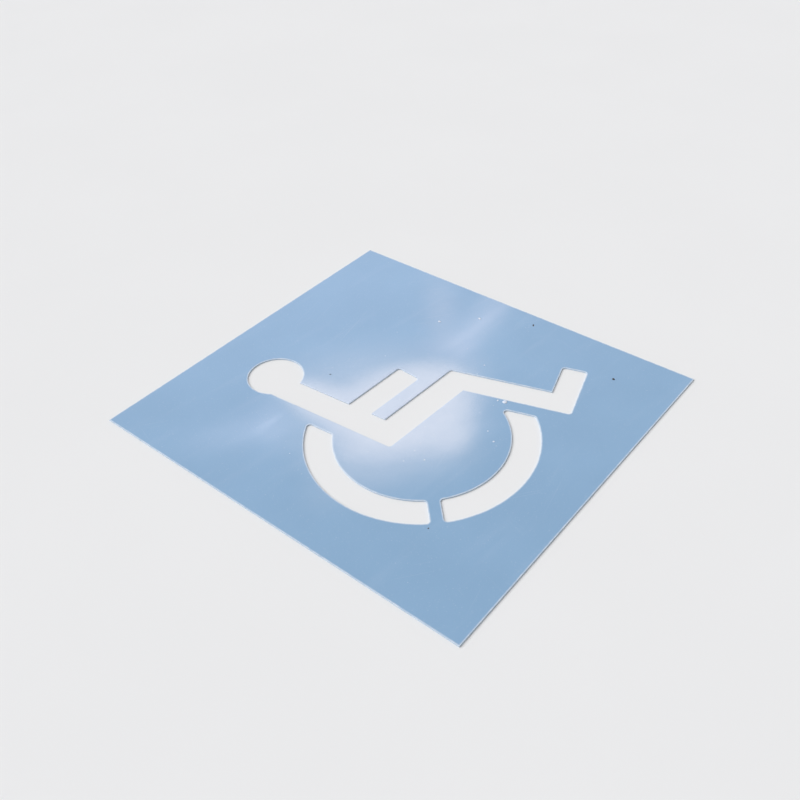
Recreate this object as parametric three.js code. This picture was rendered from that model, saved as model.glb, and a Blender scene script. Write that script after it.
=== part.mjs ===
import * as THREE from 'three';

// Pavement stencil: one flat sheet with the wheelchair access symbol cut through it, and the dried coat of
// white spray paint that its upper face carries around the middle of the symbol.
// Millimetres, +Z up, the sheet lying on its underside with the origin below its middle.
// +X is the way that the figure faces and +Y is the way that it sits up.

// Sheet
const sheetWidth = 915;
const sheetHeight = 990;
const sheetThickness = 3.2;

// Cutting: the border left around the symbol, the lands left beside the figure and across the lower wheel,
// the radius that the round cutter leaves in every inside corner, and the largest sag of a facet on an arc
const symbolMargin = 127;
const sideBridgeWidth = 33;
const lowerBridgeWidth = 28;
const cutterRadius = 8;
const facetSag = 0.05;

// Wheel
const wheelRadius = 260;
const wheelStroke = 63;
const lowerBridgeAngle = THREE.MathUtils.degToRad(225);

// Head, which sits ahead of the middle line of the torso
const headRadius = 67;
const headForward = 23;

// Torso, leaning back, and its lower rear corner at the hip, measured from the wheel's middle
const torsoLean = THREE.MathUtils.degToRad(4.6);
const torsoWidth = 69;
const hipBehind = 72;
const hipAbove = 31;

// Arm and thigh, both dropping a little towards the front, with a tongue of sheet between them
const limbDrop = THREE.MathUtils.degToRad(3);
const thighDepth = 71;
const tongueDepth = 36.5;
const armDepth = 64;
const armReach = 218;
const kneeReach = 291;

// Shin, leaning forward from the knee, and the foot square to it
const shinLean = THREE.MathUtils.degToRad(17);
const shinWidth = 62;
const shinLength = 306.5;
const footDepth = 59;
const footReach = 97;

// Paint: its film, the middle of the sprayed patch from the wheel's middle, how far the patch reaches on
// each side of the figure, how much further its tail runs up beside the torso, the spread of that tail as
// an angle about the patch's middle, and the lobes of its uneven rim
const coatThickness = 0.2;
const coatForward = 43;
const coatAbove = 92;
const frontCoatReach = 200;
const frontCoatRise = 165;
const rearCoatReach = 155;
const rearCoatRise = 165;
const coatTailLength = 95;
const coatTailSpread = THREE.MathUtils.degToRad(24);
const coatLobes = [{ count: 5, height: 4 }, { count: 13, height: 1.5 }];
const rimFacet = 4;

// Plane geometry: directions, lines and where they meet
const heading = (angle) => new THREE.Vector2(Math.cos(angle), Math.sin(angle));
const line = (point, angle) => ({ point, along: heading(angle) });
const advance = (point, direction, distance) => point.clone().addScaledVector(direction, distance);
const leftOf = (direction) => new THREE.Vector2(-direction.y, direction.x);
const offset = (base, distance) => ({ ...base, point: advance(base.point, leftOf(base.along), distance) });

function meet(first, second) {
  const between = second.point.clone().sub(first.point);
  const distance = between.cross(second.along) / first.along.cross(second.along);
  return advance(first.point, first.along, distance);
}

// The first point, or the last, of a circle that a line runs through
function meetCircle(base, centre, radius, last) {
  const from = base.point.clone().sub(centre);
  const middle = -from.dot(base.along);
  const half = Math.sqrt(middle ** 2 - from.lengthSq() + radius ** 2);
  return advance(base.point, base.along, last ? middle + half : middle - half);
}

function arc(centre, radius, start, sweep) {
  const step = 2 * Math.acos(1 - facetSag / radius);
  const count = Math.ceil(Math.abs(sweep) / step);
  const directions = Array.from({ length: count + 1 }, (_, i) => heading(start + (sweep * i) / count));
  return directions.map((direction) => advance(centre, direction, radius));
}

// An arc from one point to another around a centre, the short way or all the way round to the left
function arcBetween(centre, from, to, roundLeft) {
  const start = from.clone().sub(centre);
  const turn = start.angleTo(to.clone().sub(centre)) * Math.sign(start.cross(to.clone().sub(centre)));
  const sweep = roundLeft && turn < 0 ? turn + 2 * Math.PI : turn;
  return arc(centre, start.length(), start.angle(), sweep);
}

// The round that the cutter leaves in the corner between two straight cuts
function roundCorner(before, corner, after) {
  const back = before.clone().sub(corner).normalize();
  const forth = after.clone().sub(corner).normalize();
  const half = back.angleTo(forth) / 2;
  const centre = advance(corner, back.clone().add(forth).normalize(), cutterRadius / Math.sin(half));
  const reach = cutterRadius / Math.tan(half);
  return arcBetween(centre, advance(corner, back, reach), advance(corner, forth, reach), false);
}

// The wheel's middle, held off the sheet's rear and lower edges by the border
const inset = symbolMargin + wheelRadius;
const axle = new THREE.Vector2(inset - sheetWidth / 2, inset - sheetHeight / 2);

// The straight cuts of the figure
const hip = new THREE.Vector2(axle.x - hipBehind, axle.y + hipAbove);
const thighLow = line(hip, -limbDrop);
const thighTop = offset(thighLow, thighDepth);
const armLow = offset(thighTop, tongueDepth);
const armTop = offset(armLow, armDepth);
const torsoBack = line(hip, Math.PI / 2 + torsoLean);
const torsoFront = offset(torsoBack, -torsoWidth);
const armEnd = line(advance(armLow.point, armLow.along, armReach), Math.PI / 2 - limbDrop);
const knee = advance(thighTop.point, thighTop.along, kneeReach);
const shinFront = line(knee, shinLean - Math.PI / 2);
const shinBack = offset(shinFront, -shinWidth);
const sole = line(advance(knee, shinFront.along, shinLength), shinLean);
const footTop = offset(sole, footDepth);
const toeEnd = offset(shinFront, footReach);

// The corners of the figure
const innerKnee = meet(thighLow, shinBack);
const heel = meet(shinBack, sole);
const toeLow = meet(sole, toeEnd);
const toeTop = meet(toeEnd, footTop);
const ankle = meet(footTop, shinFront);
const tongueLow = meet(thighTop, torsoFront);
const tongueTop = meet(torsoFront, armLow);
const handLow = meet(armLow, armEnd);
const handTop = meet(armEnd, armTop);
const armpit = meet(armTop, torsoFront);

// The head, held off the sheet's upper edge by the border, and the neck cuts that run into it
const headHeight = sheetHeight / 2 - symbolMargin - headRadius;
const torsoMiddle = offset(torsoBack, -torsoWidth / 2);
const headLevel = line(new THREE.Vector2(0, headHeight), 0);
const head = advance(meet(torsoMiddle, headLevel), headLevel.along, headForward);
const neckBack = meetCircle(torsoBack, head, headRadius, false);
const neckFront = meetCircle(torsoFront, head, headRadius, false);

// The two sides of the figure's cut-out: down its back, and up its front
const rearEdge = [neckBack, ...roundCorner(neckBack, hip, innerKnee), innerKnee, heel];
const frontEdge = [
  ankle,
  ...roundCorner(ankle, knee, tongueLow),
  tongueLow,
  tongueTop,
  ...roundCorner(tongueTop, handLow, handTop),
  ...roundCorner(handLow, handTop, armpit),
  armpit,
  neckFront,
];
const figure = [
  ...rearEdge.slice(0, -1),
  ...roundCorner(innerKnee, heel, toeLow),
  ...roundCorner(heel, toeLow, toeTop),
  ...roundCorner(toeLow, toeTop, ankle),
  ...frontEdge.slice(0, -1),
  ...arcBetween(head, neckFront, neckBack, true).slice(0, -1),
];

// A stretch of the wheel between two straight end cuts, running round to the left from the first to the
// second, whose directions point outwards, with the cutter's round in all four corners
function wheelStretch(startCut, endCut) {
  const innerRadius = wheelRadius - wheelStroke;
  const startTool = offset(startCut, cutterRadius);
  const endTool = offset(endCut, -cutterRadius);
  const corner = (tool, toolRadius) => meetCircle(tool, axle, toolRadius, true);
  const onRim = (centre, radius) => advance(axle, centre.clone().sub(axle).normalize(), radius);
  const onCut = (centre, cut, side) => advance(centre, leftOf(cut.along), side * cutterRadius);
  const startOuter = corner(startTool, wheelRadius - cutterRadius);
  const endOuter = corner(endTool, wheelRadius - cutterRadius);
  const startInner = corner(startTool, innerRadius + cutterRadius);
  const endInner = corner(endTool, innerRadius + cutterRadius);
  const outerFrom = onRim(startOuter, wheelRadius);
  const outerTo = onRim(endOuter, wheelRadius);
  const innerFrom = onRim(endInner, innerRadius);
  const innerTo = onRim(startInner, innerRadius);
  return [
    ...arcBetween(axle, outerFrom, outerTo, true).slice(0, -1),
    ...arcBetween(endOuter, outerTo, onCut(endOuter, endCut, 1), false),
    ...arcBetween(endInner, onCut(endInner, endCut, 1), innerFrom, false).slice(0, -1),
    ...arcBetween(axle, innerTo, innerFrom, true).reverse().slice(0, -1),
    ...arcBetween(startInner, innerTo, onCut(startInner, startCut, -1), false),
    ...arcBetween(startOuter, onCut(startOuter, startCut, -1), outerFrom, false).slice(0, -1),
  ];
}

// The land across the wheel's lower rear, and the lands beside the torso's back and the shin's back
const lowerBridge = line(axle, lowerBridgeAngle);
const besideTorso = offset(torsoBack, sideBridgeWidth);
const besideShin = offset(shinBack, -sideBridgeWidth);
const rearWheel = wheelStretch(besideTorso, offset(lowerBridge, -lowerBridgeWidth / 2));
const lowerWheel = wheelStretch(offset(lowerBridge, lowerBridgeWidth / 2), besideShin);

// The part of a cut edge that the paint reaches, closed by the uneven rim of the sprayed patch, which lies
// to the right of the edge
const coatMiddle = new THREE.Vector2(axle.x + coatForward, axle.y + coatAbove);
const coatTailAngle = neckBack.clone().sub(coatMiddle).angle();

function coatOutline(edge, reach, rise) {
  const rim = (angle) => {
    const smooth = 1 / Math.hypot(Math.cos(angle) / reach, Math.sin(angle) / rise);
    const aside = heading(angle).angleTo(heading(coatTailAngle));
    const tail = coatTailLength * Math.exp(-((aside / coatTailSpread) ** 2));
    return coatLobes.reduce((sum, lobe) => sum + lobe.height * Math.cos(lobe.count * angle), smooth + tail);
  };
  const painted = (point) => {
    const away = point.clone().sub(coatMiddle);
    return away.length() < rim(away.angle());
  };
  const steps = edge.slice(1).flatMap((to, i) => {
    const count = Math.ceil(edge[i].distanceTo(to) / rimFacet);
    const between = Array.from({ length: count - 1 }, (_, k) => edge[i].clone().lerp(to, (k + 1) / count));
    return [...between, to];
  });
  const first = steps.findIndex(painted);
  const last = steps.findLastIndex(painted);
  const corners = steps.slice(first + 1, last).filter((point) => edge.includes(point));
  const kept = [steps[first], ...corners, steps[last]];
  const from = steps[last].clone().sub(coatMiddle);
  const to = steps[first].clone().sub(coatMiddle);
  const sweep = THREE.MathUtils.euclideanModulo(from.angle() - to.angle(), 2 * Math.PI);
  const count = Math.ceil((sweep * reach) / rimFacet);
  const closing = Array.from({ length: count - 1 }, (_, i) => from.angle() - (sweep * (i + 1)) / count);
  return [...kept, ...closing.map((angle) => advance(coatMiddle, heading(angle), rim(angle)))];
}

// Solids
function plate(name, outline, cutouts, depth, base, material) {
  const shape = new THREE.Shape(outline);
  shape.holes = cutouts.map((points) => new THREE.Path(points));
  const mesh = new THREE.Mesh(new THREE.ExtrudeGeometry(shape, { depth, bevelEnabled: false }), material);
  mesh.name = name;
  mesh.position.z = base;
  return mesh;
}

const sheetCorners = [[-1, -1], [1, -1], [1, 1], [-1, 1]];
const sheetHalf = new THREE.Vector2(sheetWidth / 2, sheetHeight / 2);
const sheetOutline = sheetCorners.map(([x, y]) => new THREE.Vector2(x, y).multiply(sheetHalf));
const sheetMaterial = new THREE.MeshStandardMaterial({ color: 0x96b4d7, roughness: 0.1, metalness: 0 });
const frontPaint = new THREE.MeshStandardMaterial({ color: 0xdde3ee, roughness: 0.6, metalness: 0 });
const rearPaint = new THREE.MeshStandardMaterial({ color: 0xd8dfec, roughness: 0.6, metalness: 0 });
const frontCoat = coatOutline(frontEdge, frontCoatReach, frontCoatRise);
const rearCoat = coatOutline(rearEdge, rearCoatReach, rearCoatRise);

const stencil = new THREE.Group();
stencil.add(
  plate('stencil_sheet', sheetOutline, [figure, rearWheel, lowerWheel], sheetThickness, 0, sheetMaterial),
  plate('front_paint_coat', frontCoat, [], coatThickness, sheetThickness, frontPaint),
  plate('rear_paint_coat', rearCoat, [], coatThickness, sheetThickness, rearPaint),
);

export default stencil;
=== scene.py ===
import math
import random
from collections import namedtuple

import bmesh
import bpy
import numpy as np
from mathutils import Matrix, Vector, noise
from mathutils.bvhtree import BVHTree
from mathutils.geometry import delaunay_2d_cdt


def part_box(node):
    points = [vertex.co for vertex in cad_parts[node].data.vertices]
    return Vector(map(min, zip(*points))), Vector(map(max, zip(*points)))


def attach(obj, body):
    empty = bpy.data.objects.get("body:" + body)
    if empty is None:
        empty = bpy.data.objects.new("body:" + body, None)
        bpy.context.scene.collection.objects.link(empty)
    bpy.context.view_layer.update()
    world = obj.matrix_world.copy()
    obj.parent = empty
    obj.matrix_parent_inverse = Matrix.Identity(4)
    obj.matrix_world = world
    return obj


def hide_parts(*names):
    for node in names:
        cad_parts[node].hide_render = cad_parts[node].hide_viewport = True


# Pavement stencil: a glossy blue sheet with the wheelchair access symbol cut through it and white paint
# sprayed over the middle of the symbol, lying on a pale floor. Metres, in the frame of the solids.
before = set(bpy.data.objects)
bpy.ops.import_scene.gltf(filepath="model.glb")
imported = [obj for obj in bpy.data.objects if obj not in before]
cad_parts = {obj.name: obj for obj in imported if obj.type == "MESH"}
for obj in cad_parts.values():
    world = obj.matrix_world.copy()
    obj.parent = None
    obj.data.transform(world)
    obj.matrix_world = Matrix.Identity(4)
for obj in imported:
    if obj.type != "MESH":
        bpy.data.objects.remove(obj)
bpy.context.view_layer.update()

MM = 0.001
SEED = 41
SHEET = "stencil_sheet"
COATS = ("front_paint_coat", "rear_paint_coat")

# Colours, as they look under plain white light (sRGB, 0 to 255)
SHEET_BLUE = (142, 176, 208)
SHEET_DEEP = (138, 172, 204)
CUT_BLUE = (186, 207, 227)
# Pale of the scratches and dust, and of the edge strip, which is partly wear and partly a painted highlight
PALE_WEAR_AND_HIGHLIGHT = (226, 233, 241)
PAINT_WHITE = (213, 223, 240)
PAINT_THICK = (217, 226, 242)
DROP_WHITE = (240, 243, 248)
TAR = (46, 46, 44)
TAR_DUST = (104, 102, 98)
FLOOR = (236, 236, 236)
FLOOR_SHADE = (235, 235, 235)

# Sheet
ARRIS = 0.6 * MM  # rounding of its cut edges
ARRIS_STEPS = 3
WORN_HIGHLIGHT_STRIP = 2.8 * MM  # strip along the edges that is painted pale, partly as rubbed wear and partly as a painted highlight
CORNER_TURN = math.radians(25)  # turn from which an edge keeps a sharp corner
EDGE_STEP = 12 * MM  # spacing of the mesh along the edges
FACE_STEP = 18 * MM  # spacing of the mesh over the faces
FACE_CLEAR = 5 * MM  # least distance of the mesh's inner points from the pale edge strip of wear and painted highlight

# Paint film
FILM_THICKEST = 0.26 * MM
FILM_STARTS = 0.35  # cover at which the spray starts to build up
FILM_THINNEST = 0.04  # share of the greatest thickness
FILM_TAPER = 30 * MM  # strip along its free rim over which it thins out
FILM_LUMP = 6 * MM
FILM_VARIES = 0.25  # how far the lumps vary the thickness
FILM_SINK = 0.01 * MM  # how far it sinks into the sheet
FILM_AT_CUT = 0.02 * MM  # closer to a cut than this, its rim ends at the cut
FILM_EDGE_STEP = 4 * MM  # spacing of the mesh along the rim
FILM_STEP = 5 * MM  # spacing of the mesh inside
FILM_CLEAR = 2.5 * MM  # least distance of the mesh's inner points from the rim
FILM_JITTER = 0.25  # how far the inner points are moved by chance, as a share of their spacing

# Sprayed patch, pass by pass, with the middle taken from the middle of the paint coats: half widths,
# squareness, the shares of the half widths where the pass is full and where it ends, and how far it covers
Pass = namedtuple("Pass", "middle half squareness full end cover")
PASSES = (
    Pass((-13 * MM, -40 * MM), (180 * MM, 145 * MM), 1.5, 0.60, 1.35, 0.80),
    Pass((-116 * MM, 118 * MM), (62 * MM, 150 * MM), 1.5, 0.10, 1.55, 0.95),
    Pass((-65 * MM, -76 * MM), (265 * MM, 175 * MM), 1.4, 0.60, 1.35, 0.32),
    Pass((-42 * MM, 45 * MM), (245 * MM, 245 * MM), 1.6, 0.35, 1.30, 0.35),
    Pass((-42 * MM, -190 * MM), (60 * MM, 40 * MM), 2.0, 0.0, 1.50, 0.36),
)

# Spattered drops
DROP_COUNT = 210
SPATTER_MIDDLE = (-5 * MM, -34 * MM)  # from the middle of the paint coats
SPATTER_HALF = (200 * MM, 180 * MM)
SPATTER_OUT = (0.62, 0.40)  # how far out they fall, as a share of the half widths, and how that varies
DROP_RADIUS = 0.45 * MM
DROP_LARGEST = 2.4 * MM
DROP_VARIES = 0.5  # how the radius varies
DROP_HEIGHT = (0.30, 0.45)  # shares of the radius
DROP_FOOT = 1.4  # how much wider than the radius the foot may be
DROP_STRETCH = (0.85, 1.2)
DROP_CORNERS = 12
LOOK_FROM = 1.0  # height from which the sheet is looked for under a drop

# Waves round a drop: how many, how deep, and how far they turn as a multiple of the drop's own phase
DROP_WAVES = ((2, 0.07, 1), (3, 0.05, 2))

# The outline of a drop from its foot up, as shares of its radius and of its height
DROP_PROFILE = ((1.0, -0.03), (0.93, 0.30), (0.72, 0.68), (0.38, 0.94))

# The larger drops, each by its place on the sheet and its radius
Drop = namedtuple("Drop", "x y radius")
LARGE_DROPS = (
    Drop(130 * MM, -191 * MM, 5.6 * MM),
    Drop(125 * MM, -175 * MM, 2.0 * MM),
    Drop(293 * MM, 120 * MM, 3.5 * MM),
    Drop(364 * MM, 45 * MM, 3.1 * MM),
    Drop(6 * MM, -246 * MM, 2.2 * MM),
)
LARGE_DROP_HEIGHT = 0.34  # share of the radius
LARGE_DROP_CORNERS = 24

# Crumbs of tar stuck to the sheet
Crumb = namedtuple("Crumb", "x y length width height turn")
CRUMBS = (
    Crumb(419 * MM, -81 * MM, 8.0 * MM, 3.5 * MM, 0.9 * MM, 0.5),
    Crumb(347 * MM, -347 * MM, 6.5 * MM, 5.5 * MM, 1.8 * MM, 1.2),
    Crumb(-276 * MM, -286 * MM, 3.6 * MM, 2.6 * MM, 0.8 * MM, 0.2),
    Crumb(-33 * MM, 199 * MM, 4.5 * MM, 2.6 * MM, 0.7 * MM, 2.2),
)
CRUMB_DETAIL = 3  # subdivisions
CRUMB_LUMPS = (1.7, 0.45)  # how fine they are, and how deep
CRUMB_GRIT = (5.0, 0.15)
CRUMB_FOOT = -0.25  # where a crumb is flat below, as a share of its height
CRUMB_CHANCE = 50  # how far apart in the noise two crumbs may be taken

# Noise, by the size of its lumps, its detail and how rough that is
Noise = namedtuple("Noise", "size detail roughness", defaults=(2.0, 0.5))
CLOUD = Noise(200 * MM, 4.0)
DUST = Noise(2.4 * MM, 1.0)
NICK = Noise(17 * MM, 4.0, 0.65)
WAVE = Noise(170 * MM, 1.0)
LOBE = Noise(70 * MM, 3.0)
GRAIN = Noise(1.1 * MM)
PAINT_CLOUD = Noise(33 * MM, 3.0)
PEEL = Noise(1.4 * MM)
DROP_CLOUD = Noise(6 * MM, 3.0)
DROP_GLAZE = Noise(2 * MM)
DROP_SKIN = Noise(1.1 * MM)
TAR_CLOUD = Noise(1.4 * MM, 4.0, 0.65)
TAR_GLAZE = Noise(1.1 * MM)
TAR_GRIT = Noise(0.8 * MM, 4.0, 0.7)
FLOOR_CLOUD = Noise(500 * MM, 3.0)

# Streaks: noise with lumps of their own length, width and height, turned in the plane of the sheet
Streaks = namedtuple("Streaks", "angle size detail")
THROUGH = 1000 * MM  # height of a streak that looks the same all through the sheet
SMEAR = Streaks(math.radians(-5), (330 * MM, 38 * MM, THROUGH), 3.0)
RIDGE = Streaks(0.0, (11 * MM, 11 * MM, 0.4 * MM), 2.0)
SCRATCH_DETAIL = 1.0

# Scratches in three directions: length, width and how rare they are
Scratch = namedtuple("Scratch", "angle length width rarity")
SCRATCHES = (
    Scratch(math.radians(12), 330 * MM, 1.9 * MM, 0.745),
    Scratch(math.radians(-38), 250 * MM, 2.3 * MM, 0.750),
    Scratch(math.radians(74), 200 * MM, 1.6 * MM, 0.755),
)
SCRATCH_FADES = 0.03  # from a scratch's rim to its full depth, in values of its noise

# Spans of values between which a mark goes from none to full
SOFT = (0.3, 0.7)  # a noise's usual low and high values
SMEAR_SPAN = (0.52, 0.78)
DUST_SPAN = (0.70, 0.76)
GRAIN_SPAN = (0.2, 0.8)
WALL_SPAN = (0.8, 0.3)  # how far a face looks up or down, from the faces to the cut walls
DOWN_WALL = (0.2 * MM, 2.6 * MM)  # heights on the cut walls between which the paint fades

# How far the marks show in the colour
SMEAR_SHOWS = 0.05
SCRATCH_SHOWS = 0.12
DUST_SHOWS = 0.25
WALL_SHOWS = 0.60
GRAIN_SHOWS = 0.35
GRAIN_DEPTH = 0.30  # how far the grain of the spray thins or thickens its cover
LOBE_REACH = 0.05  # how far the rim of a pass wanders, as a share of its half widths
WORN_HIGHLIGHT_SHOWS = (0.45, 0.95)  # on the pale edge strip of wear and painted highlight, from its least worn places to its most
WORN_HIGHLIGHT_ON_WALL = 0.3  # share of that on the cut walls

# Relief
WAVE_DEPTH = 0.15 * MM
RIDGE_DEPTH = 0.12 * MM
SCRATCH_DEPTH = 0.01 * MM
PEEL_DEPTH = 0.12 * MM
DROP_SKIN_DEPTH = 0.04 * MM
TAR_GRIT_DEPTH = 0.3 * MM

# Roughness
CLEAN, SMEARED = 0.05, 0.10
SCRATCH_DULLS = 0.12  # what a scratch adds
WORN_HIGHLIGHT_DULLS = 0.25  # what the pale edge strip of wear and painted highlight adds
WALL_DULL = 0.42
PAINT_DULL = (0.46, 0.60)
DROP_DULL = (0.26, 0.42)
TAR_DULL = (0.55, 0.90)
FLOOR_DULL = 0.9
FLOOR_GLOSS = 0.1  # specular level

# Camera
LENS_MM = 40.63
SENSOR_MM = 36.0
CAMERA_PLACE = (-1.2006, -1.0355, 1.3429)
CAMERA_TURN = tuple(map(math.radians, (49.7344, 2.2246, -50.7931)))

# Studio: the level of its walls and ceiling, and the elevations between which one fades into the other
WALL_LEVEL = 0.82
CEILING_LEVEL = 0.40
WALL_FADES = (8, 27)

# Soft panels in the studio that the gloss shows, with angles in degrees
Panel = namedtuple("Panel", "azimuth elevation half_width half_height tilt colour strength")
PANELS = (
    Panel(46.7, 33.3, 37.0, 18.7, 1.0, (0.84, 0.92, 1.24), 1.12),
    Panel(34.8, 35.7, 5.9, 1.3, -48.0, (1.0, 0.78, 0.74), 2.4),
    Panel(36.9, 37.2, 2.6, 1.7, -20.0, (1.0, 0.82, 0.82), 1.3),
    Panel(53.9, 40.9, 5.6, 1.3, -4.0, (1.0, 0.88, 0.98), 2.0),
    Panel(51.7, 40.9, 1.8, 1.0, -26.0, (1.0, 0.88, 0.98), 2.8),
    Panel(37.6, 34.7, 1.7, 3.6, 0.0, (1.0, 0.68, 0.52), 1.2),
)

# Lamp: its strength, the angle that it fills, and where it shines from
KEY_LIGHT = 2.35
KEY_SPREAD = math.radians(50)
KEY_FROM = (-0.57, 0.82, 0.95)

FLOOR_HALF = 30.0
FLOOR_BELOW = 0.1 * MM

HAIR = 0.001 * MM  # closest that a triangle's middle may come to an outline
SAME = 1e-7  # closest that two points of a mesh may come


def linear(rgb):
    """sRGB, 0 to 255, as the linear colour that a shader takes."""
    def one(v):
        v /= 255
        return v / 12.92 if v <= 0.04045 else ((v + 0.055) / 1.055) ** 2.4
    return (*map(one, rgb), 1.0)


class Graph:
    """A node tree, with short calls for the nodes used here."""

    def __init__(self, tree):
        self.tree = tree

    def add(self, kind, **values):
        """A new node with its own settings."""
        node = self.tree.nodes.new(kind)
        for key, value in values.items():
            setattr(node, key, value)
        return node

    def put(self, socket, value):
        """Link a socket to another, or set it to a value."""
        if isinstance(value, bpy.types.NodeSocket):
            self.tree.links.new(value, socket)
        else:
            socket.default_value = value

    def shade(self, **values):
        """Set the shader's own sockets, each by its name with _ for a space."""
        shader = self.tree.nodes["Principled BSDF"]
        for key, value in values.items():
            self.put(shader.inputs[key.replace("_", " ")], value)

    def math(self, operation, *inputs):
        node = self.add("ShaderNodeMath", operation=operation)
        for socket, value in zip(node.inputs, inputs):
            self.put(socket, value)
        return node.outputs[0]

    def vector(self, operation, *inputs):
        node = self.add("ShaderNodeVectorMath", operation=operation)
        for socket, value in zip(node.inputs, inputs):
            self.put(socket, value)
        return node.outputs["Value" if operation == "DOT_PRODUCT" else "Vector"]

    def scaled(self, vector, amount):
        node = self.add("ShaderNodeVectorMath", operation="SCALE")
        self.put(node.inputs["Vector"], vector)
        self.put(node.inputs["Scale"], amount)
        return node.outputs["Vector"]

    def part(self, vector, axis):
        """One coordinate of a vector."""
        node = self.add("ShaderNodeSeparateXYZ")
        self.put(node.inputs[0], vector)
        return node.outputs[axis]

    def ramp(self, value, low, high, to_low=0.0, to_high=1.0):
        """A value taken smoothly from one span to another, and held at its ends."""
        node = self.add("ShaderNodeMapRange", interpolation_type="SMOOTHSTEP")
        for socket, given in zip(node.inputs, (value, low, high, to_low, to_high)):
            self.put(socket, given)
        return node.outputs["Result"]

    def mix(self, share, first, second):
        """Two colours mixed."""
        node = self.add("ShaderNodeMix", data_type="RGBA")
        self.put(node.inputs["Factor"], share)
        for socket, colour in zip((s for s in node.inputs if s.type == "RGBA"), (first, second)):
            self.put(socket, colour)
        return next(s for s in node.outputs if s.type == "RGBA")

    def blend(self, share, first, second):
        """Two values mixed."""
        node = self.add("ShaderNodeMix", data_type="FLOAT")
        for socket, value in zip((s for s in node.inputs if s.type == "VALUE"), (share, first, second)):
            self.put(socket, value)
        return node.outputs[0]

    def noise(self, where, kind):
        node = self.add("ShaderNodeTexNoise")
        inputs = {"Vector": where, "Scale": 1 / kind.size, "Detail": kind.detail, "Roughness": kind.roughness}
        for key, value in inputs.items():
            self.put(node.inputs[key], value)
        return node.outputs["Fac"]

    def streaks(self, where, kind):
        node = self.add("ShaderNodeMapping", vector_type="TEXTURE")
        inputs = {"Vector": where, "Rotation": (0.0, 0.0, kind.angle), "Scale": kind.size}
        for key, value in inputs.items():
            self.put(node.inputs[key], value)
        return self.noise(node.outputs["Vector"], Noise(1.0, kind.detail))

    def place(self):
        """The point of the surface, in metres."""
        return self.add("ShaderNodeTexCoord").outputs["Object"]

    def bump(self, height, depth, under=None):
        """The surface's normal with a relief on it, which may lie over another."""
        node = self.add("ShaderNodeBump")
        self.put(node.inputs["Distance"], depth)
        self.put(node.inputs["Height"], height)
        if under:
            self.put(node.inputs["Normal"], under)
        return node.outputs["Normal"]


def new_material(name):
    material = bpy.data.materials.new(name)
    material.use_nodes = True
    return material, Graph(material.node_tree)


def placed_passes():
    """The middle of the paint coats, and the passes of the spray with their middles on the sheet."""
    corners = [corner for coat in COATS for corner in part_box(coat)]
    middle = [(min(c[k] for c in corners) + max(c[k] for c in corners)) / 2 for k in (0, 1)]
    return middle, [p._replace(middle=(middle[0] + p.middle[0], middle[1] + p.middle[1])) for p in PASSES]


patch_middle, passes = placed_passes()
sheet_low, sheet_top = (corner.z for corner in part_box(SHEET))


def cover_at(x, y):
    """How far the sprayed paint covers the sheet at a point, from 0 to 1, without the grain of the spray."""
    bare = 1.0
    for spray in passes:
        across = abs((x - spray.middle[0]) / spray.half[0]) ** spray.squareness
        up = abs((y - spray.middle[1]) / spray.half[1]) ** spray.squareness
        out = (across + up) ** (1 / spray.squareness)
        t = min(1.0, max(0.0, (spray.end - out) / (spray.end - spray.full)))
        bare *= 1 - spray.cover * t * t * (3 - 2 * t)
    return 1 - bare


def spray_cover(g, where):
    """The same cover as nodes, with a wandering rim and the grain of the spray."""
    wander = g.ramp(g.noise(where, LOBE), 0.0, 1.0, -LOBE_REACH, LOBE_REACH)
    bare = 1.0
    for spray in passes:
        shares = (1 / spray.half[0], 1 / spray.half[1], 0.0)
        away = g.vector("MULTIPLY", g.vector("SUBTRACT", where, (*spray.middle, 0.0)), shares)
        powers = [g.math("POWER", g.math("ABSOLUTE", g.part(away, k)), spray.squareness) for k in "XY"]
        out = g.math("POWER", g.math("ADD", *powers), 1 / spray.squareness)
        left = g.ramp(g.math("ADD", out, wander), spray.full, spray.end, 1 - spray.cover, 1.0)
        bare = g.math("MULTIPLY", bare, left)
    cover = g.math("SUBTRACT", 1.0, bare)
    grain = g.ramp(g.noise(where, GRAIN), *SOFT, -GRAIN_DEPTH, GRAIN_DEPTH)
    grained = g.ramp(g.math("ADD", cover, grain), *GRAIN_SPAN)
    return g.blend(GRAIN_SHOWS, cover, grained)


def scratches(g, where):
    """Fine straight scratches in three directions, 1 in a scratch."""
    found = 0.0
    for scratch in SCRATCHES:
        size = (scratch.length, scratch.width, THROUGH)
        line = g.streaks(where, Streaks(scratch.angle, size, SCRATCH_DETAIL))
        found = g.math("MAXIMUM", found, g.ramp(line, scratch.rarity, scratch.rarity + SCRATCH_FADES))
    return found


def worn_blue(g, where, wall, smear, marks):
    """The sheet's own colour: clouded, a little smeared, scratched and dusty, and pale on the cut walls."""
    blue = g.mix(g.ramp(g.noise(where, CLOUD), *SOFT), linear(SHEET_DEEP), linear(SHEET_BLUE))
    for share, shows, colour in (
        (g.ramp(smear, *SMEAR_SPAN), SMEAR_SHOWS, PAINT_WHITE),
        (marks, SCRATCH_SHOWS, PALE_WEAR_AND_HIGHLIGHT),
        (g.ramp(g.noise(where, DUST), *DUST_SPAN), DUST_SHOWS, PALE_WEAR_AND_HIGHLIGHT),
        (wall, WALL_SHOWS, CUT_BLUE),
    ):
        blue = g.mix(g.math("MULTIPLY", share, shows), blue, linear(colour))
    return blue


def worn_edge_highlight(g, where, wall):
    """How far the edges that the sheet's own points mark are painted pale, partly as rubbed wear and partly
    as a painted highlight: unevenly, and less on the walls.
    """
    marked = g.add("ShaderNodeAttribute", attribute_name="worn_highlight").outputs["Fac"]
    nicks = g.ramp(g.noise(where, NICK), *SOFT, *WORN_HIGHLIGHT_SHOWS)
    return g.math("MULTIPLY", marked, g.math("MULTIPLY", nicks, g.ramp(wall, 0.0, 1.0, 1.0, WORN_HIGHLIGHT_ON_WALL)))


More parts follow.
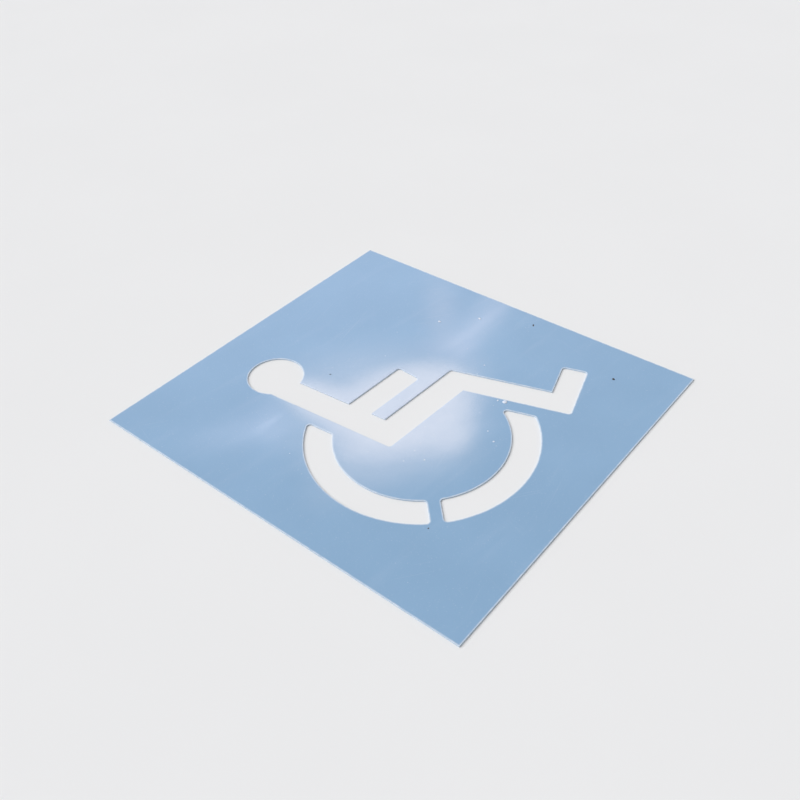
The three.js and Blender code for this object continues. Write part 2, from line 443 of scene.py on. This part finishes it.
def painted_plastic():
    """Glossy blue plastic under sprayed paint."""
    material, g = new_material("blue_plastic")
    where = g.place()
    facing = g.add("ShaderNodeNewGeometry").outputs["True Normal"]
    wall = g.ramp(g.math("ABSOLUTE", g.part(facing, "Z")), *WALL_SPAN)
    smear = g.streaks(where, SMEAR)
    marks = scratches(g, where)
    worn_highlight = worn_edge_highlight(g, where, wall)
    cover = g.math("MULTIPLY", spray_cover(g, where), g.ramp(g.part(where, "Z"), *DOWN_WALL))

    # The pale edge strip, partly wear and partly a painted highlight
    blue = g.mix(worn_highlight, worn_blue(g, where, wall, smear, marks), linear(PALE_WEAR_AND_HIGHLIGHT))
    white = g.mix(g.ramp(g.noise(where, PAINT_CLOUD), *SOFT), linear(PAINT_WHITE), linear(PAINT_THICK))
    dull = g.math("ADD", g.ramp(smear, *SOFT, CLEAN, SMEARED), g.math("MULTIPLY", marks, SCRATCH_DULLS))
    dull = g.math("ADD", g.blend(wall, dull, WALL_DULL), g.math("MULTIPLY", worn_highlight, WORN_HIGHLIGHT_DULLS))
    peel = g.noise(where, PEEL)
    satin = g.ramp(peel, *SOFT, *PAINT_DULL)

    normal = g.bump(g.noise(where, WAVE), WAVE_DEPTH)
    normal = g.bump(g.math("MULTIPLY", g.streaks(where, RIDGE), wall), RIDGE_DEPTH, normal)
    normal = g.bump(marks, -SCRATCH_DEPTH, normal)
    normal = g.bump(g.math("MULTIPLY", peel, cover), PEEL_DEPTH, normal)
    g.shade(Base_Color=g.mix(cover, blue, white), Roughness=g.blend(cover, dull, satin), Normal=normal)
    return material


def drop_paint():
    """Dried drops of paint, a little glossier than the sprayed film."""
    material, g = new_material("drop_paint")
    where = g.place()
    colour = g.mix(g.ramp(g.noise(where, DROP_CLOUD), *SOFT), linear(PAINT_THICK), linear(DROP_WHITE))
    dull = g.ramp(g.noise(where, DROP_GLAZE), *SOFT, *DROP_DULL)
    skin = g.bump(g.noise(where, DROP_SKIN), DROP_SKIN_DEPTH)
    g.shade(Base_Color=colour, Roughness=dull, Normal=skin)
    return material


def dusty_tar():
    """Rough black tar with grit in it."""
    material, g = new_material("dusty_tar")
    where = g.place()
    colour = g.mix(g.ramp(g.noise(where, TAR_CLOUD), *SOFT), linear(TAR), linear(TAR_DUST))
    dull = g.ramp(g.noise(where, TAR_GLAZE), *SOFT, *TAR_DULL)
    grit = g.bump(g.noise(where, TAR_GRIT), TAR_GRIT_DEPTH)
    g.shade(Base_Color=colour, Roughness=dull, Normal=grit)
    return material


def pale_floor():
    """A plain pale floor, clouded very faintly."""
    material, g = new_material("pale_floor")
    colour = g.mix(g.ramp(g.noise(g.place(), FLOOR_CLOUD), *SOFT), linear(FLOOR_SHADE), linear(FLOOR))
    g.shade(Base_Color=colour, Roughness=FLOOR_DULL, Specular_IOR_Level=FLOOR_GLOSS)
    return material


def link(name, data):
    """A new object with this data, in the scene."""
    made = bpy.data.objects.new(name, data)
    bpy.context.scene.collection.objects.link(made)
    return made


def piece(name, mesh, material, stands_for=None):
    """A mesh in place as a piece of the object, which may stand for a node."""
    data = bpy.data.meshes.new(name)
    bmesh.ops.recalc_face_normals(mesh, faces=mesh.faces)
    mesh.to_mesh(data)
    mesh.free()
    data.materials.append(material)
    made = link(name, data)
    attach(made, "root")
    if stands_for:
        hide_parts(stands_for)


def turning(items):
    """Each item with the next, round to the first again."""
    return list(zip(items, items[1:] + items[:1]))


def outlines(node):
    """The loops of points round a plate's upper face, in order, with the plate on the left."""
    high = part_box(node)[1].z
    mesh = bmesh.new()
    mesh.from_mesh(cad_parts[node].data)
    bmesh.ops.remove_doubles(mesh, verts=mesh.verts, dist=SAME)
    mesh.verts.index_update()
    upper = {face for face in mesh.faces if face.calc_center_median().z > high - HAIR}
    after = {}
    for loop in (loop for face in upper for loop in face.loops):
        if not upper.issuperset(loop.edge.link_faces):
            after[loop.vert.index] = loop.link_loop_next.vert.index
    places = [Vector(v.co[:2]) for v in mesh.verts]
    mesh.free()
    found = []
    while after:
        start = min(after)
        now = after.pop(start)
        points = [places[start]]
        while now != start:
            points.append(places[now])
            now = after.pop(now)
        found.append(points)
    return found


def finer(loop, step):
    """The loop with points no further apart than step."""
    points = []
    for a, b in turning(loop):
        count = math.ceil((b - a).length / step)
        points += [a.lerp(b, k / count) for k in range(count)]
    return points


def inwards(loop):
    """For each point of a loop, the step into the plate that moves both of its sides in by 1."""
    sides = [(b - a).normalized() for a, b in turning(loop)]
    lefts = [Vector((-side.y, side.x)) for side in sides]
    return [(left + right) / (1 + left.dot(right)) for left, right in zip(lefts[-1:] + lefts[:-1], lefts)]


def held_by(loops, points, clear):
    """Which points lie inside the loops and further than clear from them."""
    starts, ends = (np.array(p) for p in zip(*(side for loop in loops for side in turning(loop))))
    along = ends - starts
    kept = []
    for point in points:
        to_point = np.array(point) - starts
        level = (starts[:, 1] > point[1]) != (ends[:, 1] > point[1])
        rise = np.where(level, along[:, 1], 1.0)
        crossed = level & (to_point[:, 0] < to_point[:, 1] / rise * along[:, 0])
        share = np.clip((to_point * along).sum(1) / (along ** 2).sum(1), 0, 1)
        away = np.linalg.norm(to_point - share[:, None] * along, axis=1)
        kept.append(np.count_nonzero(crossed) % 2 == 1 and away.min() > clear)
    return kept


def spread(loops, step, clear, jitter, chance):
    """Points in rows and columns over the inside of the loops, each moved a little by chance."""
    spans = [np.arange(min(v) + step, max(v), step) for v in zip(*(p for loop in loops for p in loop))]
    points = []
    for x in spans[0]:
        for y in spans[1]:
            points.append(Vector((x, y)) + Vector([chance.uniform(-jitter, jitter) * step for _ in "xy"]))
    return [point for point, kept in zip(points, held_by(loops, points, clear)) if kept]


def filled(loops, guides, inside):
    """Triangles over the inside of the loops, with edges along the guides, as indices into the points of the
    loops, the guides and the inside, in that order."""
    points = []
    sides = []
    for loop in loops + guides:
        sides += turning(list(range(len(points), len(points) + len(loop))))
        points += loop
    made, _, faces, origins, _, _ = delaunay_2d_cdt(points + inside, sides, [], 0, SAME)
    middles = [sum((made[k] for k in face), Vector((0, 0))) / len(face) for face in faces]
    return [[origins[k][0] for k in face] for face, kept in zip(faces, held_by(loops, middles, HAIR)) if kept]


def edge_profile():
    """The inset and the height of each ring of points down a cut edge, rounded above and below."""
    turns = [math.radians(90 * k / ARRIS_STEPS) for k in range(ARRIS_STEPS + 1)]
    upper = [(ARRIS * (1 - math.sin(t)), sheet_top - ARRIS * (1 - math.cos(t))) for t in turns]
    return upper + [(inset, sheet_low + sheet_top - z) for inset, z in reversed(upper)]


def wrap_edge(mesh, loop, rings):
    """The band of faces down a cut edge, from ring to ring, with sharp corners where the edge turns."""
    for above, below in zip(rings, rings[1:]):
        for (a, b), (c, d) in zip(turning(above), turning(below)):
            mesh.faces.new((a, c, d, b)).smooth = True
    sides = [b - a for a, b in turning(loop)]
    for k, (before, after) in enumerate(zip(sides[-1:] + sides[:-1], sides)):
        if before.angle(after) > CORNER_TURN:
            for above, below in zip(rings, rings[1:]):
                mesh.edges.get((above[k], below[k])).smooth = False


def make_sheet(name, material):
    """The cut sheet with its edges rounded off a little above and below, and marked along them for a pale
    strip that is partly wear and partly a painted highlight.
    """
    loops = [finer(loop, EDGE_STEP) for loop in outlines(SHEET)]

    def inset_by(distance):
        return [[p + step * distance for p, step in zip(loop, inwards(loop))] for loop in loops]

    guides = inset_by(ARRIS + WORN_HIGHLIGHT_STRIP)
    inside = spread(guides, FACE_STEP, FACE_CLEAR, 0.0, random.Random(SEED))
    faces = filled(inset_by(ARRIS), guides, inside)
    middle = [p for loop in guides for p in loop] + inside

    mesh = bmesh.new()
    # Marks for the pale edge strip, partly wear and partly a painted highlight
    worn_highlight = mesh.verts.layers.float.new("worn_highlight")
    stack = []
    for inset, z in edge_profile():
        stack.append([[mesh.verts.new((*p, z)) for p in loop] for loop in inset_by(inset)])
    for v in mesh.verts:
        v[worn_highlight] = 1.0
    for k, loop in enumerate(loops):
        wrap_edge(mesh, loop, [ring[k] for ring in stack])
    for ring, z, way in ((stack[0], sheet_top, 1), (stack[-1], sheet_low, -1)):
        flat = [v for loop in ring for v in loop] + [mesh.verts.new((*p, z)) for p in middle]
        for face in faces:
            mesh.faces.new([flat[k] for k in face][::way])
    piece(name, mesh, material, SHEET)


def off_line(point, a, b):
    """How far a point lies from the line between two others."""
    along = b - a
    share = min(1.0, max(0.0, (point - a).dot(along) / along.length_squared))
    return (point - a - along * share).length


def film_thickness(point, free_rim):
    """The paint's thickness at a point: thicker under more passes, lumpy, and thinned out to its free rim."""
    lump = noise.noise(point.to_3d() / FILM_LUMP)
    taper = min(1.0, min(off_line(point, a, b) for a, b in free_rim) / FILM_TAPER)
    built_up = max(FILM_THINNEST, taper * (cover_at(*point) - FILM_STARTS))
    return FILM_THICKEST * built_up * (1 + FILM_VARIES * lump)


def make_film(name, coat, material):
    """A skin of paint that thins out where the spray ends and stays thick at the cut edges."""
    cuts = [side for loop in outlines(SHEET) for side in turning(loop)]
    rim = finer(outlines(coat)[0], FILM_EDGE_STEP)
    on_cut = [min(off_line(p, a, b) for a, b in cuts) < FILM_AT_CUT for p in rim]
    rim = [p + step * ARRIS if cut else p for p, step, cut in zip(rim, inwards(rim), on_cut)]
    free_rim = [side for side, cut in zip(turning(rim), turning(on_cut)) if not all(cut)]
    inside = spread([rim], FILM_STEP, FILM_CLEAR, FILM_JITTER, random.Random(SEED))

    mesh = bmesh.new()
    points = rim + inside
    lower = [mesh.verts.new((*p, sheet_top - FILM_SINK)) for p in points]
    upper = [mesh.verts.new((*p, sheet_top + film_thickness(p, free_rim))) for p in points]
    for face in filled([rim], [], inside):
        mesh.faces.new([upper[k] for k in face]).smooth = True
        mesh.faces.new([lower[k] for k in reversed(face)])
    for k, n in turning(list(range(len(rim)))):
        mesh.faces.new((upper[k], lower[k], lower[n], upper[n]))
        mesh.edges.get((upper[k], upper[n])).smooth = False
    piece(name, mesh, material, coat)


def turned(u, v, angle):
    """A step in the plane, turned by an angle."""
    return u * math.cos(angle) - v * math.sin(angle), u * math.sin(angle) + v * math.cos(angle)


def add_drop(mesh, drop, height, corners, chance):
    """A dried drop: a low dome, a little out of round."""
    stretch = chance.uniform(*DROP_STRETCH)
    turn = chance.uniform(0, math.pi)
    phase = chance.uniform(0, 2 * math.pi)
    rings = []
    for share, level in DROP_PROFILE:
        ring = []
        for k in range(corners):
            a = 2 * math.pi * k / corners
            uneven = 1 + sum(depth * math.sin(count * a + lag * phase) for count, depth, lag in DROP_WAVES)
            r = drop.radius * share * uneven
            u, v = turned(r * math.cos(a) * stretch, r * math.sin(a) / stretch, turn)
            ring.append(mesh.verts.new((drop.x + u, drop.y + v, sheet_top + level * height)))
        rings.append(ring)
    tip = mesh.verts.new((drop.x, drop.y, sheet_top + height))
    for low, high in zip(rings, rings[1:]):
        for (a, b), (c, d) in zip(turning(low), turning(high)):
            mesh.faces.new((a, b, d, c)).smooth = True
    for a, b in turning(rings[-1]):
        mesh.faces.new((a, b, tip)).smooth = True
    mesh.faces.new(list(reversed(rings[0])))


def sheet_carries(tree, drop):
    """Whether the sheet lies under a drop's middle and all four sides of its foot."""
    foot = drop.radius * DROP_FOOT
    for dx, dy in ((0, 0), (1, 0), (-1, 0), (0, 1), (0, -1)):
        above = Vector((drop.x + dx * foot, drop.y + dy * foot, LOOK_FROM))
        hit = tree.ray_cast(above, Vector((0, 0, -1)))[0]
        if hit is None or hit.z < sheet_top - HAIR:
            return False
    return True


def chance_drop(chance):
    """A drop of the spatter, at a place and of a size drawn by chance."""
    angle = chance.uniform(0, 2 * math.pi)
    out = abs(chance.gauss(*SPATTER_OUT))
    x = patch_middle[0] + SPATTER_MIDDLE[0] + SPATTER_HALF[0] * out * math.cos(angle)
    y = patch_middle[1] + SPATTER_MIDDLE[1] + SPATTER_HALF[1] * out * math.sin(angle)
    return Drop(x, y, min(DROP_LARGEST, DROP_RADIUS * math.exp(chance.gauss(0, DROP_VARIES))))


def make_drops(name, material):
    """Spattered drops, thickest round the patch, only where the sheet carries them, and a few larger ones."""
    chance = random.Random(SEED)
    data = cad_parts[SHEET].data
    corners = [v.co.copy() for v in data.vertices]
    tree = BVHTree.FromPolygons(corners, [list(face.vertices) for face in data.polygons])
    mesh = bmesh.new()
    made = 0
    while made < DROP_COUNT:
        drop = chance_drop(chance)
        if sheet_carries(tree, drop):
            add_drop(mesh, drop, drop.radius * chance.uniform(*DROP_HEIGHT), DROP_CORNERS, chance)
            made += 1
    for drop in LARGE_DROPS:
        add_drop(mesh, drop, drop.radius * LARGE_DROP_HEIGHT, LARGE_DROP_CORNERS, chance)
    piece(name, mesh, material)


def add_crumb(mesh, crumb, chance):
    """A lumpy crumb pressed onto the sheet."""
    shift = chance.uniform(0, CRUMB_CHANCE)
    lumps, lump_depth = CRUMB_LUMPS
    grains, grain_depth = CRUMB_GRIT
    for v in bmesh.ops.create_icosphere(mesh, subdivisions=CRUMB_DETAIL, radius=1.0)["verts"]:
        large = noise.noise(v.co * lumps + Vector((shift, 0, 0)))
        small = noise.noise(v.co * grains + Vector((0, shift, 0)))
        p = v.co * (1 + lump_depth * large + grain_depth * small)
        x, y = turned(p.x * crumb.length / 2, p.y * crumb.width / 2, crumb.turn)
        v.co = (crumb.x + x, crumb.y + y, sheet_top + max(p.z, CRUMB_FOOT) * crumb.height)


def make_crumbs(name, material):
    """The crumbs of tar, as one piece."""
    chance = random.Random(SEED)
    mesh = bmesh.new()
    for crumb in CRUMBS:
        add_crumb(mesh, crumb, chance)
    for face in mesh.faces:
        face.smooth = True
    piece(name, mesh, material)


def make_floor():
    mesh = bpy.data.meshes.new("floor")
    signs = ((-1, -1), (1, -1), (1, 1), (-1, 1))
    corners = [(x * FLOOR_HALF, y * FLOOR_HALF, -FLOOR_BELOW) for x, y in signs]
    mesh.from_pydata(corners, [], [range(len(corners))])
    mesh.materials.append(pale_floor())
    link("floor", mesh)


def panel_light(g, where, panel):
    """The light of one soft panel in a direction of the surround."""
    a, e, t = (math.radians(v) for v in (panel.azimuth, panel.elevation, panel.tilt))
    out = Vector((math.cos(a) * math.cos(e), math.sin(a) * math.cos(e), math.sin(e)))
    side = Vector((math.sin(a), -math.cos(a), 0.0))
    up = side.cross(out)
    share = g.math("GREATER_THAN", g.vector("DOT_PRODUCT", where, tuple(out)), 0.0)
    for axis, half in (
        (side * math.cos(t) + up * math.sin(t), panel.half_width),
        (up * math.cos(t) - side * math.sin(t), panel.half_height),
    ):
        offset = g.math("ABSOLUTE", g.vector("DOT_PRODUCT", where, tuple(axis)))
        share = g.math("MULTIPLY", share, g.ramp(offset, 0.0, math.sin(math.radians(half)), 1.0, 0.0))
    return g.scaled(panel.colour, g.math("MULTIPLY", share, panel.strength))


def make_surround():
    """A white surround, darker above, with soft panels in it."""
    world = bpy.data.worlds.new("studio")
    world.use_nodes = True
    g = Graph(world.node_tree)
    where = g.add("ShaderNodeTexCoord").outputs["Generated"]
    fades = [math.sin(math.radians(v)) for v in WALL_FADES]
    light = g.scaled((1.0, 1.0, 1.0), g.ramp(g.part(where, "Z"), *fades, WALL_LEVEL, CEILING_LEVEL))
    for panel in PANELS:
        light = g.vector("ADD", light, panel_light(g, where, panel))
    g.put(world.node_tree.nodes["Background"].inputs["Color"], light)
    bpy.context.scene.world = world


def make_lamp():
    """One broad lamp that the gloss doesn't mirror."""
    lamp = bpy.data.lights.new("key", "SUN")
    lamp.energy = KEY_LIGHT
    lamp.angle = KEY_SPREAD
    key = link("key", lamp)
    key.visible_glossy = False
    key.rotation_mode = "QUATERNION"
    key.rotation_quaternion = Vector(KEY_FROM).to_track_quat("Z", "Y")


def make_camera():
    data = bpy.data.cameras.new("camera")
    data.lens = LENS_MM
    data.sensor_width = SENSOR_MM
    camera = link("camera", data)
    camera.location = CAMERA_PLACE
    camera.rotation_euler = CAMERA_TURN
    bpy.context.scene.camera = camera


plastic = painted_plastic()
make_sheet("cut_sheet", plastic)
for coat in COATS:
    make_film(coat.replace("coat", "film"), coat, plastic)
make_drops("paint_drops", drop_paint())
make_crumbs("tar_crumbs", dusty_tar())
make_floor()
make_surround()
make_lamp()
make_camera()
bpy.context.scene.view_settings.view_transform = "Standard"
